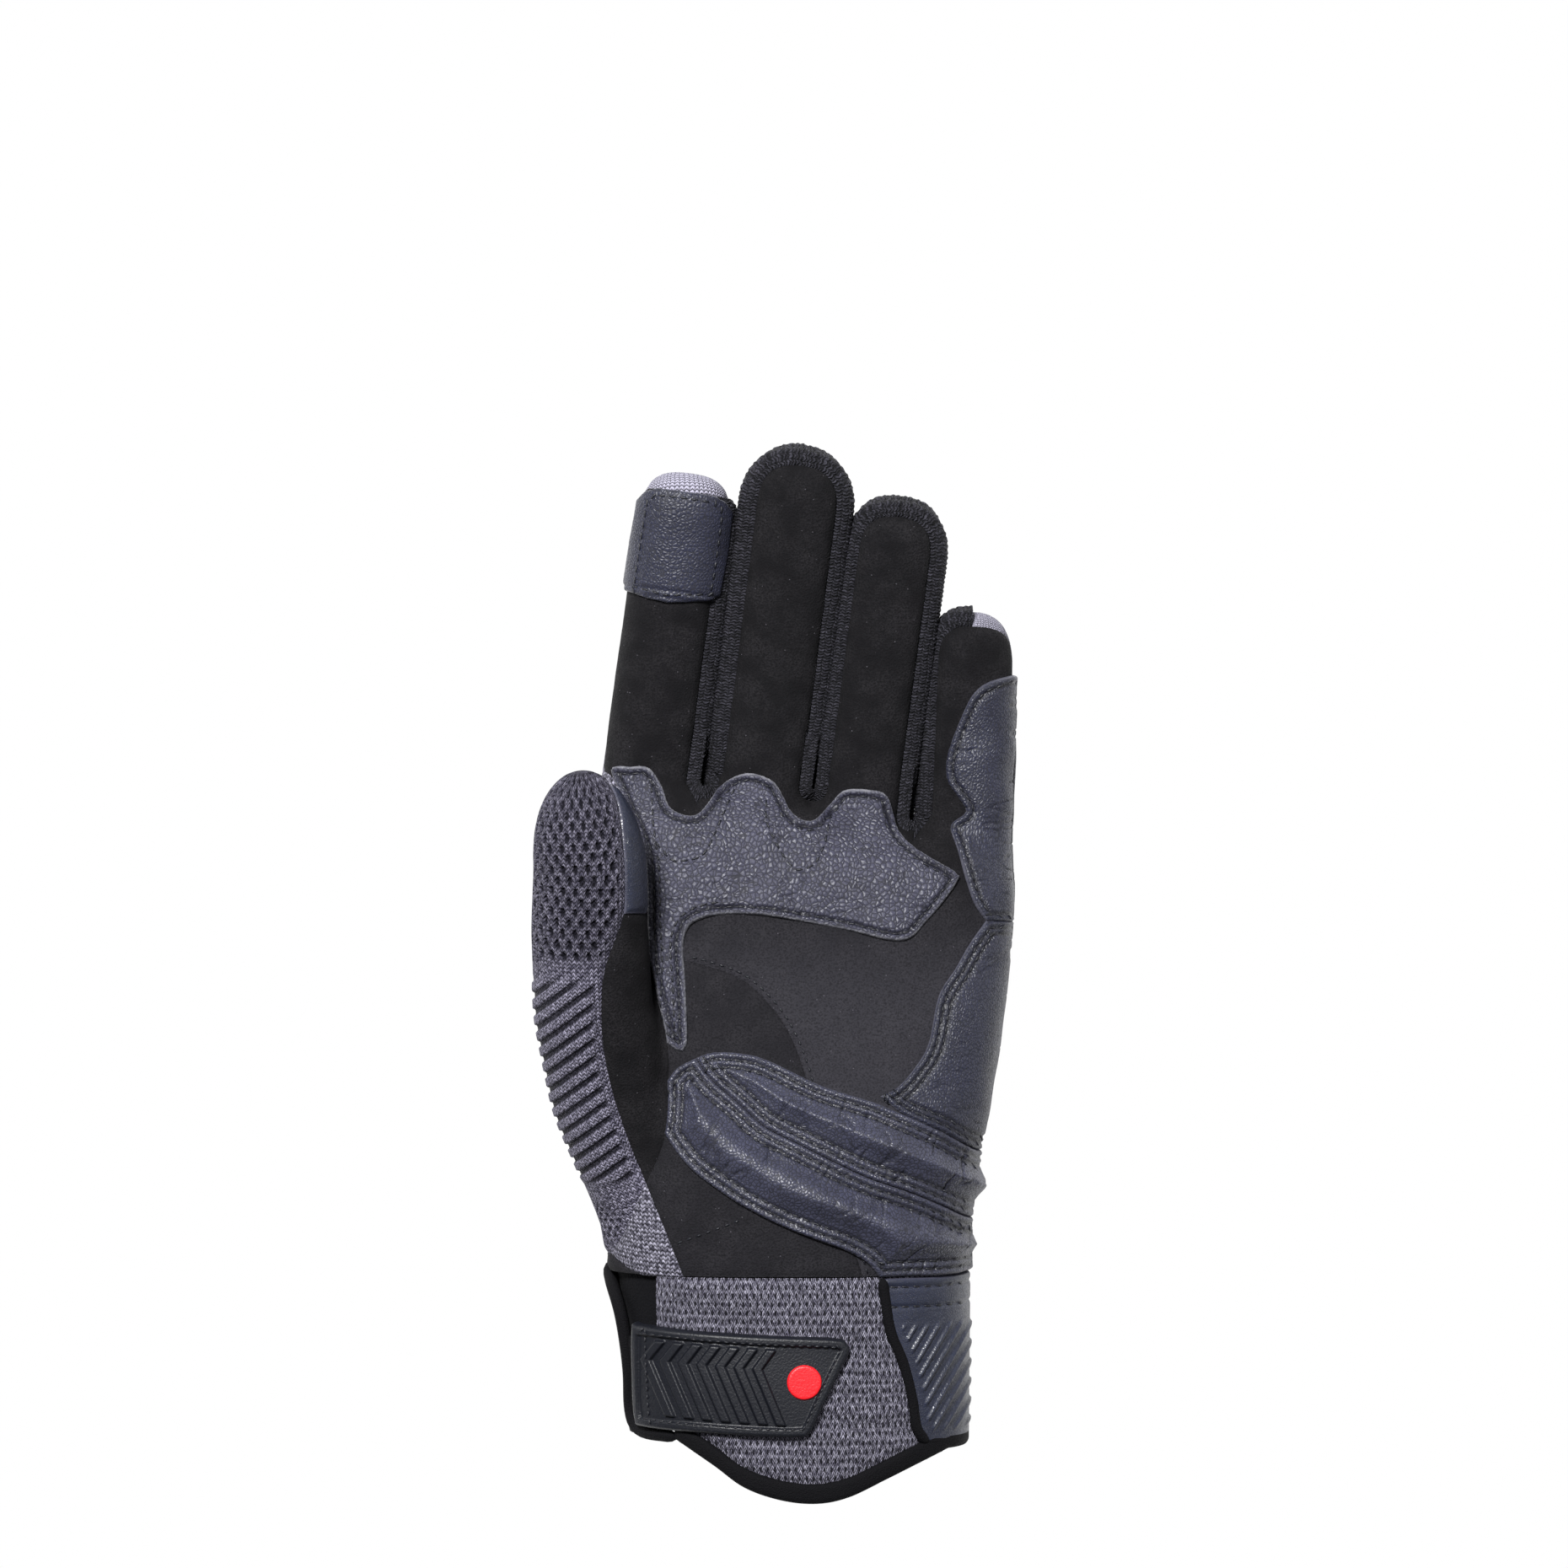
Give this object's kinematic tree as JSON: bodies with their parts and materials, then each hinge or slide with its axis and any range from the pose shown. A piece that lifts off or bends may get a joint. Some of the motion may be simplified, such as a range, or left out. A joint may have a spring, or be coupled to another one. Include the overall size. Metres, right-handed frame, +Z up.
{
  "type": "motorcycle glove",
  "caption": "Short-cuff motorcycle glove for the left hand, palm up, with suede palm, leather pads, knit thumb and a rubber wrist strap.",
  "frame": {"origin": "middle of the bounding box on the plane of the table that the back of the glove lies on", "axes": "+X from the thumb side to the little-finger side, +Y from the cuff to the fingertips, +Z up out of the palm"},
  "size_m": [0.1146, 0.2452, 0.0583],
  "materials": {
    "grey_knit": "open three-dimensional knit with a soft sheen",
    "black_knit": "ribbed black knit",
    "suede": "matte synthetic suede",
    "navy_leather": "smooth leather with fine creases",
    "pebbled_leather": "pebble-grained leather, satin",
    "rubber": "moulded rubber, satin",
    "red_rubber": "moulded rubber, satin",
    "binding": "woven binding tape, matte"
  },
  "bodies": {
    "root": {"back_panel": "grey_knit", "palm_panel": "suede", "side_knit_index_middle": "black_knit", "side_knit_middle_ring": "black_knit", "side_knit_ring_little": "black_knit", "thumb_panel": "suede", "thumb_back": "grey_knit", "thumb_pad": "navy_leather", "thumb_gusset": "suede", "palm_reinforcement": "pebbled_leather", "heel_pad_upper": "navy_leather", "heel_pad_lower": "navy_leather", "edge_panel": "navy_leather", "little_finger_patch": "navy_leather", "index_tip_patch": "navy_leather", "cuff_front": "grey_knit", "cuff_back": "binding", "cuff_hem": "binding", "cuff_side_panel": "navy_leather", "strap": "rubber", "strap_badge": "red_rubber"}
  },
  "joints": []
}
